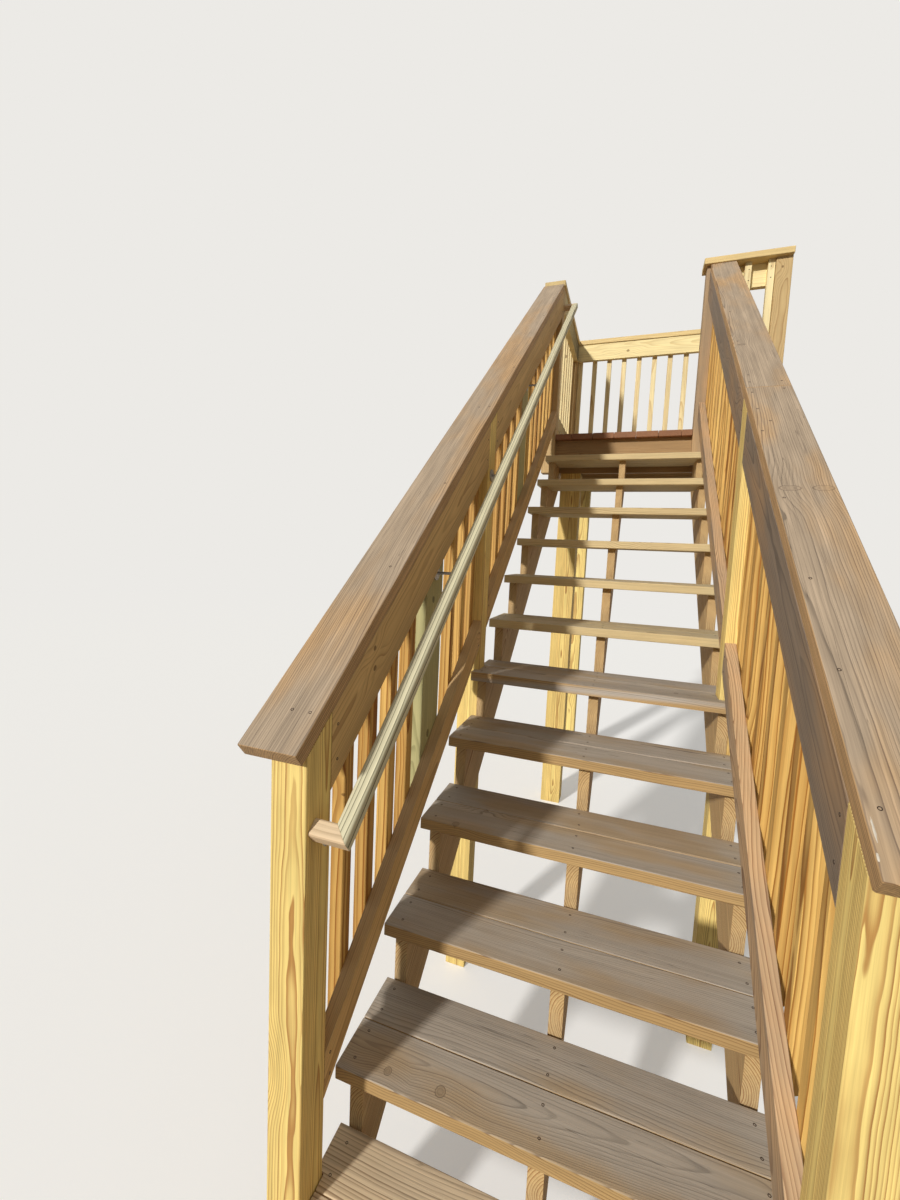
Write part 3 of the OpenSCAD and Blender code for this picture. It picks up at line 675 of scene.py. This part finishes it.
CAP_SCREWS = [(x, y) for y in (0.2, 1.42, 3.02) for x in (-0.55, -0.505)]
CAP_SCREWS += [(x, y) for y in (0.205, 3.03) for x in (0.466, 0.512)]
CAP_SCREWS += [
    (-0.521, 0.58), (-0.503, 0.93), (-0.498, 1.78), (-0.502, 2.13), (-0.499, 2.46), (-0.503, 2.78),
    (0.468, 0.41), (0.466, 0.61), (0.462, 0.864), (0.458, 1.17), (0.487, 1.225), (0.462, 1.3),
    (0.46, 1.41), (0.56, 1.425), (0.462, 1.485), (0.562, 1.48), (0.464, 1.54), (0.463, 1.85),
    (0.466, 2.2), (0.462, 2.5), (0.464, 2.8),
]
LEVEL_CAP_SCREWS = [
    (-0.55, 4.15), (-0.505, 4.15), (-0.548, 3.12), (-0.503, 3.115), (-0.501, 3.45), (-0.499, 3.8),
    (-0.1, 4.124), (0.25, 4.125), (0.58, 4.123), (0.832, 4.15), (0.878, 4.15), (0.832, 3.115),
    (0.878, 3.11), (0.66, 3.138), (0.447, 3.11), (0.49, 3.115),
]
aims = [((x, y, rake_z(y, CAP_TOP)), INTO_CAP) for x, y in CAP_SCREWS]
aims += [((x, y, LEVEL_CAP_TOP), DOWN) for x, y in LEVEL_CAP_SCREWS]
drive("cap_screws", aims, ["stair_cap_left", "stair_cap_right", "landing_caps"], Proud=0.0004)

# Sealant has dried in a thin pale smear at the right cap's foot.
UP_CAP, OFF_CAP = Vector((0, 1, RAKE)).normalized(), -INTO_CAP
SMEAR_SIDES, SMEAR_HIGH = 20, 0.0005
SMEAR_LINES = ((0.6, 0.8), (1.0, -1.0))  # an outline's share of the width, and of the height
sealant = clouded("dried sealant", "#b9ab95", "#dfd5c2", 0.6, 0.0)


def smear(name, x, y, length, width):
    """A thin, uneven patch on the raked cap, drawn out up the rake and highest in its middle."""
    rng = random.Random(name)
    at = Vector((x, y, rake_z(y, CAP_TOP)))
    across = OFF_CAP.cross(UP_CAP)
    verts = [at + OFF_CAP * SMEAR_HIGH]
    for share, high in SMEAR_LINES:
        for k in range(SMEAR_SIDES):
            turn = math.tau * k / SMEAR_SIDES
            far = share * rng.uniform(0.6, 1.0) / 2
            up_it = UP_CAP * length * far * math.cos(turn)
            aside = across * width * far * math.sin(turn)
            verts.append(at + up_it + aside + OFF_CAP * (SMEAR_HIGH * high))
    faces = []
    for k in range(SMEAR_SIDES):
        after = (k + 1) % SMEAR_SIDES
        faces.append((0, 1 + k, 1 + after))
        faces.append((1 + k, 1 + SMEAR_SIDES + k, 1 + SMEAR_SIDES + after, 1 + after))
    mesh = bpy.data.meshes.new(name)
    mesh.from_pydata([v[:] for v in verts], [], faces)
    mesh.materials.append(sealant)
    place(name, mesh, [])


smear("cap_sealant", 0.451, 0.178, 0.055, 0.0055)
smear("cap_sealant_drop", 0.447, 0.148, 0.016, 0.005)

# Rails: boards on edge between the posts, under the caps and at the guards' feet. Those of the
# flight are weathered, and the landing's are still yellow; the flight's right top rails are greyer
# and darker, weathering with painted shade on top. Two screws hold each end.
tan_rail_wood = pine(
    "tan pine rails", "#dfb97a", "#96693a", "#a38b6c", 0.6, ring=0.0044, lines=0.55, knots=0.2, sides=0.1
)
rail_wood = pine(
    "weathered pine rails", "#dfb887", "#8f6238", "#90806f", 0.45, ring=0.0055, lines=0.9, knots=0.3,
    sides=1.9, zones=0.3, roam=0.15,
)
# The right top rails: grey weathering, made darker still as painted shade.
grey_rail_wood_with_painted_shade = pine(
    "grey pine rails with painted shade", "#b9946a", "#73543a", "#7d7164", 0.9, ring=0.0046, lines=0.8, knots=0.2,
    sides=0.9, zones=0.3,
)
yellow_rail_wood = pine(
    "yellow pine rails", "#fbe8ac", "#b98c4a", "#d6c394", 0.2, ring=0.005, lines=0.38, knots=0.2
)
RAIL_KNOTS = [
    (-0.482, 0.433, 1.635, 0.006), (-0.482, 0.436, 1.584, 0.007), (-0.482, 0.31, 1.46, 0.004),
    (0.444, 1.167, 1.524, 0.008), (-0.059, 4.093, 3.71, 0.012),
]
rail_nodes = ["stair_top_rails", "stair_low_rails", "landing_top_rails", "landing_low_rails"]
for i, node in enumerate(rail_nodes):
    wood = yellow_rail_wood
    if "stair" in node:
        wood = (tan_rail_wood, grey_rail_wood_with_painted_shade if "top" in node else rail_wood)
    timber(node + "_boards", [node], wood, 400 + i, knots=RAIL_KNOTS)

RAIL_ENDS = (0.2497, 1.3757, 1.4647, 3.0697)
RAIL_FACES = ((-0.482, -SIDE), (0.444, SIDE))
RAIL_SCREWS = (0.087, 0.142, 0.86, 0.94)  # over the line of the nosings, low rail then top rail
LEVEL_RAIL_ROWS = (0.28, 0.72)
END_IN, CORNER_END_IN = 0.022, 0.06
LONG_RUN = 0.5
aims = []
for x, way in RAIL_FACES:
    for k, end in enumerate(RAIL_ENDS):
        y = end + (END_IN if k % 2 == 0 else -END_IN)
        aims += [((x, y, rake_z(y, over)), way) for over in RAIL_SCREWS]
for low, high in spread("landing_top_rails") + spread("landing_low_rails"):
    for share in LEVEL_RAIL_ROWS:
        z = low.z + share * (high.z - low.z)
        if high.y - low.y > LONG_RUN:
            aims += [((high.x, y, z), -SIDE) for y in (low.y + END_IN, high.y - END_IN)]
        elif high.x - low.x > LONG_RUN:
            aims += [((x, low.y, z), FRONT) for x in (low.x + CORNER_END_IN, high.x - END_IN)]
        else:
            aims += [((x, high.y, z), -FRONT) for x in (low.x + END_IN, high.x - END_IN)]
drive("rail_screws", aims, rail_nodes)

# Balusters: 38 mm square pickets of golden sapwood on the rails' outer faces, cut to the rake
# at the head and bevelled at the foot. Geometry nodes make them from their feet.
PICKET_SIDE = 0.038
PICKET_BEVEL = 0.022

pickets, given = tree_with("pickets", Side=PICKET_SIDE, Bevel=PICKET_BEVEL)
size = add(pickets, "ShaderNodeCombineXYZ", {0: given["Side"], 1: given["Side"], 2: 1.0})
stick = add(pickets, "GeometryNodeMeshCube", {"Size": size})
stick = add(pickets, "GeometryNodeSetPosition", {"Geometry": stick, "Offset": (0, 0, 0.5)})
corner = add(pickets, "GeometryNodeInputPosition")
stick = add(
    pickets, "GeometryNodeStoreNamedAttribute", {"Geometry": stick, "Name": "corner", "Value": corner},
    data_type="FLOAT_VECTOR", domain="POINT",
)
length = add(pickets, "GeometryNodeInputNamedAttribute", {"Name": "length"}, data_type="FLOAT")
turn = add(pickets, "GeometryNodeInputNamedAttribute", {"Name": "turn"}, data_type="FLOAT")
turn = add(pickets, "FunctionNodeEulerToRotation", {0: add(pickets, "ShaderNodeCombineXYZ", {2: turn})})
scale = add(pickets, "ShaderNodeCombineXYZ", {0: 1.0, 1: 1.0, 2: length})
row = {"Points": given["Points"], "Instance": stick, "Rotation": turn, "Scale": scale}
row = add(pickets, "GeometryNodeInstanceOnPoints", row)
row = add(pickets, "GeometryNodeRealizeInstances", {"Geometry": row})
corner = add(pickets, "GeometryNodeInputNamedAttribute", {"Name": "corner"}, data_type="FLOAT_VECTOR")
corner = add(pickets, "ShaderNodeSeparateXYZ", {0: corner})
rake = add(pickets, "GeometryNodeInputNamedAttribute", {"Name": "rake"}, data_type="FLOAT")
head = add(pickets, "ShaderNodeMath", {0: corner.node.outputs[1], 1: rake}, operation="MULTIPLY")
outer = add(pickets, "ShaderNodeMath", {0: corner, 1: 0.0}, operation="GREATER_THAN")
foot = add(pickets, "ShaderNodeMath", {0: outer, 1: given["Bevel"]}, operation="MULTIPLY")
rise = add(pickets, "ShaderNodeMix", {0: corner.node.outputs[2], 2: foot, 3: head}, data_type="FLOAT")
rise = add(pickets, "ShaderNodeCombineXYZ", {2: rise})
row = add(pickets, "GeometryNodeSetPosition", {"Geometry": row, "Offset": rise})
row = add(pickets, "GeometryNodeSetMaterial", {"Geometry": row, "Material": given["Finish"]})
add(pickets, "NodeGroupOutput", {"Pieces": row})

picket_wood = pine(
    "golden pine balusters", "#ebbf6c", "#9a6423", "#a08a68", 0.2, ring=0.013, lines=0.95, knots=0.2,
    dirt=0.7, vary=0.45,
)
pale_picket_wood = pine(
    "yellow pine balusters", "#f5e3ad", "#b98c4c", "#d6c79e", 0.2, ring=0.006, lines=0.6, knots=0.2,
    vary=0.25,
)
PICKET_KNOTS = [(-0.52, 0.708, 1.236, 0.012), (-0.52, 0.367, 1.272, 0.006), (-0.52, 0.444, 0.976, 0.007)]
OUTWARD = {"left": -SIDE, "right": SIDE, "back": FRONT, "front": -FRONT}
FOOT_NAILS, HEAD_NAILS = (0.062, 0.098), (0.11, 0.045)  # up from the foot, and down from the head
NAIL_ASIDE, NAIL_UP = 0.005, 0.006
aims = []
picket_nodes = sorted(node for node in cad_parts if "balusters" in node)
for i, node in enumerate(picket_nodes):
    outward = OUTWARD[node.split("_")[-1]]
    turn = math.atan2(outward.y, outward.x)
    feet = []
    for board in boards_of([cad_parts[node].data]):
        xs, ys, zs = zip(*(vert.co for vert in board.verts))
        tops = [vert.co for vert in board.verts if vert.co.z > sum(zs) / len(zs)]
        near = next(co for co in tops if co.y < sum(ys) / len(ys))
        far = next(co for co in tops if co.y > sum(ys) / len(ys))
        head_rake = (far.z - near.z) / PICKET_SIDE * (outward.x or 1)
        head_height = (near.z + far.z) / 2 - min(zs)
        foot = Vector(((min(xs) + max(xs)) / 2, (min(ys) + max(ys)) / 2, min(zs)))
        feet.append({"at": foot[:], "length": head_height, "turn": turn, "rake": head_rake})
        for up_it in (*FOOT_NAILS, *(head_height - down for down in HEAD_NAILS)):
            off = outward * PICKET_SIDE / 2 + outward.cross(UP) * sway.uniform(-NAIL_ASIDE, NAIL_ASIDE)
            aims.append((foot + off + UP * (up_it + sway.uniform(-NAIL_UP, NAIL_UP)), -outward))
        board.free()
    wood = picket_wood if "stair" in node else pale_picket_wood
    sticks = grow(pickets, feet, wood, Side=PICKET_SIDE, Bevel=PICKET_BEVEL)
    timber(
        node + "_pickets", [node], wood, 500 + i, ease=0.0025, meshes=[sticks], flat=outward,
        knots=PICKET_KNOTS,
    )
drive("picket_nails", aims, picket_nodes, Width=0.007, Proud=0.0006, Recess=0.0, Sides=10)

# Handrail: a pale, dressed length of pine with rounded edges and mitred returns, and boards
# like it behind two of its brackets.
pale_wood = pine(
    "pale dressed pine", "#ece2bc", "#5b5539", "#d3caa8", 0.3, ring=0.0095, lines=1.0, knots=0.05,
    dirt=0.5, roam=0.02, soft=0.25,
)
board_wood = pine(
    "green-tinged pine", "#c0b780", "#7c7448", "#b3aa7c", 0.4, ring=0.006, lines=0.7, knots=0.2
)
cream_wood = pine(
    "cream pine returns", "#e8caa2", "#a98a63", "#d6c3a2", 0.3, ring=0.004, lines=0.5, knots=0.0, dirt=0.4
)
BOARD_KNOTS = [(-0.52, 0.905, 1.254, 0.011), (-0.52, 0.91, 1.72, 0.011)]
for i, (node, wood) in enumerate(
    (("handrail", pale_wood), ("handrail_returns", cream_wood), ("bracket_boards", board_wood))
):
    timber(
        node + "_timber", [node], wood, 600 + i, ease=0.002, pith=(0.02, 0.04),
        aside=(0.06, 0.1), knots=BOARD_KNOTS,
    )

# Brackets: a round plate, a rod bent up under the rail and a saddle, in zinc-plated steel that
# has dulled outdoors. They keep the CAD's shape, with broken edges. Three screws hold a plate.
zinc = clouded("dulled zinc-plated steel", "#85807a", "#b9b5ae", 0.44, 0.9)
PLATE_T, PLATE_SCREWS, BROKEN_EDGE = 0.004, 0.021, 0.0008
steel = bmesh.new()
aims = []
for board in boards_of([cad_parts["handrail_brackets"].data]):
    xs, ys, zs = zip(*(vert.co for vert in board.verts))
    radius = (max(ys) - min(ys)) / 2
    centre = Vector((min(xs) + PLATE_T, (min(ys) + max(ys)) / 2, min(zs) + radius))
    for turn in (90, 210, 330):
        turn = math.radians(turn)
        aims.append((centre + Vector((0, math.cos(turn), math.sin(turn))) * PLATE_SCREWS, -SIDE))
    rim = [edge for edge in board.edges if edge.is_convex and edge.calc_face_angle(0) > SHARP]
    bmesh.ops.bevel(
        board, geom=rim, offset=BROKEN_EDGE, segments=2, profile=0.5, affect="EDGES", clamp_overlap=True
    )
    part = bpy.data.meshes.new("part")
    board.to_mesh(part)
    steel.from_mesh(part)
    bpy.data.meshes.remove(part)
    board.free()
mesh = bpy.data.meshes.new("brackets")
steel.to_mesh(mesh)
steel.free()
mesh.materials.append(zinc)
place("handrail_brackets_zinc", mesh, ["handrail_brackets"])
drive("bracket_screws", aims, ["handrail_brackets"], finish=zinc, Proud=0.0012)
# One screw's end stands out under the lower return.
RETURN_SCREW = (-0.464, 0.193, 1.2658)
drive("return_screw", [(RETURN_SCREW, OFF_CAP)], ["handrail_returns"], finish=zinc, Proud=0.018, Recess=0.0)

# Landing: boards along the flight on a frame of rims, joists and a ledger. Screws hold the
# boards at each joist and the rims at their ends, and lags the ledger.
deck_wood = pine("brown pine deck", "#ad7a55", "#6b4126", "#8a7562", 0.6, ring=0.0042)
rim_wood = pine("brown pine rims", "#ab8b5e", "#7c5632", "#8d7a62", 0.3, ring=0.0045, lines=0.7, knots=0.5)
timber("deck_boards_laid", ["deck_boards"], deck_wood, 700, ease=0.004, aside=(0.02, 0.1))
for i, node in enumerate(("front_rim", "back_rim", "side_rim", "landing_joists", "wall_ledger")):
    wood = rim_wood if "rim" in node else framing
    timber(node + "_planks", [node], wood, 720 + i, ease=0.002)
joists = []
for node in ("front_rim", "landing_joists", "back_rim"):
    joists += [(low.y + high.y) / 2 for low, high in spread(node)]
DECK_ROWS = (0.22, 0.78)
aims = []
for low, high in spread("deck_boards"):
    for y in joists:
        for share in DECK_ROWS:
            x = low.x + share * (high.x - low.x) + sway.uniform(-OFF_ROW, OFF_ROW)
            aims.append(((x, y + sway.uniform(-ALONG_ROW, ALONG_ROW), high.z), DOWN))
drive("deck_screws", aims, ["deck_boards"])
FRAME_LEFT, FRAME_FRONT, FRAME_BACK = -0.482, 3.1207, 4.1437
FRAME_CORNER = -0.463
FRAME_SCREWS = (2.54, 2.62, 2.7)
aims = [((FRAME_LEFT, y, z), SIDE) for y in joists[1:-1] for z in FRAME_SCREWS]
aims += [((FRAME_CORNER, FRAME_FRONT, z), FRONT) for z in FRAME_SCREWS]
aims += [((FRAME_CORNER, FRAME_BACK, z), -FRONT) for z in FRAME_SCREWS]
drive("rim_screws", aims, ["side_rim", "front_rim", "back_rim"])
LEDGER_FACE, LAGS, FIRST_LAG, LAG_STEP = 0.862, 5, 3.24, 0.18
LAG_HEIGHTS = (2.55, 2.67)
aims = [((LEDGER_FACE, FIRST_LAG + LAG_STEP * k, LAG_HEIGHTS[k % 2]), SIDE) for k in range(LAGS)]
drive("ledger_lags", aims, ["wall_ledger"], bolts, galvanised)

# Studio: a pale floor, an even pale surround and one soft, low sun from the front left. The floor
# fades into the surround's colour, and only looks as pale as it does to the camera and in metal.
BACKGROUND = "#eceae6"
FADE_FROM, FADE_TO = 7.0, 22.0
FLOOR_LIFT, SURROUND_LIGHT, SUN_LIGHT = 0.3, 0.36, 3.1
FLOOR_HALF = 300
SUN_WIDTH = math.radians(4)
SUN_WAY = Vector((0.415, 1.0, -0.53))
floor_mesh = bpy.data.meshes.new("floor")
corners = [(x * FLOOR_HALF, y * FLOOR_HALF, 0) for x, y in ((-1, -1), (1, -1), (1, 1), (-1, 1))]
floor_mesh.from_pydata(corners, [], [(0, 1, 2, 3)])
floor = bpy.data.objects.new("floor", floor_mesh)
bpy.context.scene.collection.objects.link(floor)
pale = bpy.data.materials.new("pale studio floor")
pale.use_nodes = True
world = bpy.data.worlds.new("studio")
world.use_nodes = True
for t in (pale.node_tree, world.node_tree):
    t.nodes.clear()
    seen = add(t, "ShaderNodeLightPath").node.outputs
    shown = {0: seen["Is Camera Ray"], 1: seen["Is Glossy Ray"]}
    shown = add(t, "ShaderNodeMath", shown, use_clamp=True)
    shown = add(t, "ShaderNodeMath", {0: shown, 1: seen["Is Transmission Ray"]}, use_clamp=True)
    if t == pale.node_tree:
        far = add(t, "ShaderNodeTexCoord", out="Object")
        far = add(t, "ShaderNodeVectorMath", {0: far}, "Value", operation="LENGTH")
        far = {0: far, 1: FADE_FROM, 2: FADE_TO}
        far = add(t, "ShaderNodeMapRange", far, interpolation_type="SMOOTHSTEP")
        colour = {0: shown, 6: linear("#8e8b86"), 7: linear("#e4e2de")}
        colour = add(t, "ShaderNodeMix", colour, 2, data_type="RGBA")
        glow = add(t, "ShaderNodeMath", {0: shown, 1: FLOOR_LIFT}, operation="MULTIPLY")
        glow = add(t, "ShaderNodeEmission", {"Color": linear(BACKGROUND), "Strength": glow})
        near = add(t, "ShaderNodeBsdfDiffuse", {"Color": colour})
        near = add(t, "ShaderNodeAddShader", {0: near, 1: glow})
        beyond = add(t, "ShaderNodeEmission", {"Color": linear(BACKGROUND), "Strength": 1.0})
        far = add(t, "ShaderNodeMath", {0: far, 1: shown}, operation="MULTIPLY")
        both = add(t, "ShaderNodeMixShader", {0: far, 1: near, 2: beyond})
        add(t, "ShaderNodeOutputMaterial", {0: both})
    else:
        dim = add(t, "ShaderNodeBackground", {"Color": linear("#f6f6f4"), "Strength": SURROUND_LIGHT})
        full = add(t, "ShaderNodeBackground", {"Color": linear(BACKGROUND), "Strength": 1.0})
        both = add(t, "ShaderNodeMixShader", {0: shown, 1: dim, 2: full})
        add(t, "ShaderNodeOutputWorld", {0: both})
floor_mesh.materials.append(pale)
floor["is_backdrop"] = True
bpy.context.scene.world = world
sun = bpy.data.objects.new("sun", bpy.data.lights.new("sun", "SUN"))
sun.data.energy = SUN_LIGHT
sun.data.angle = SUN_WIDTH
sun.rotation_euler = SUN_WAY.to_track_quat("-Z", "Y").to_euler()
bpy.context.scene.collection.objects.link(sun)
bpy.context.scene.view_settings.view_transform = "Standard"

low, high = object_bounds()
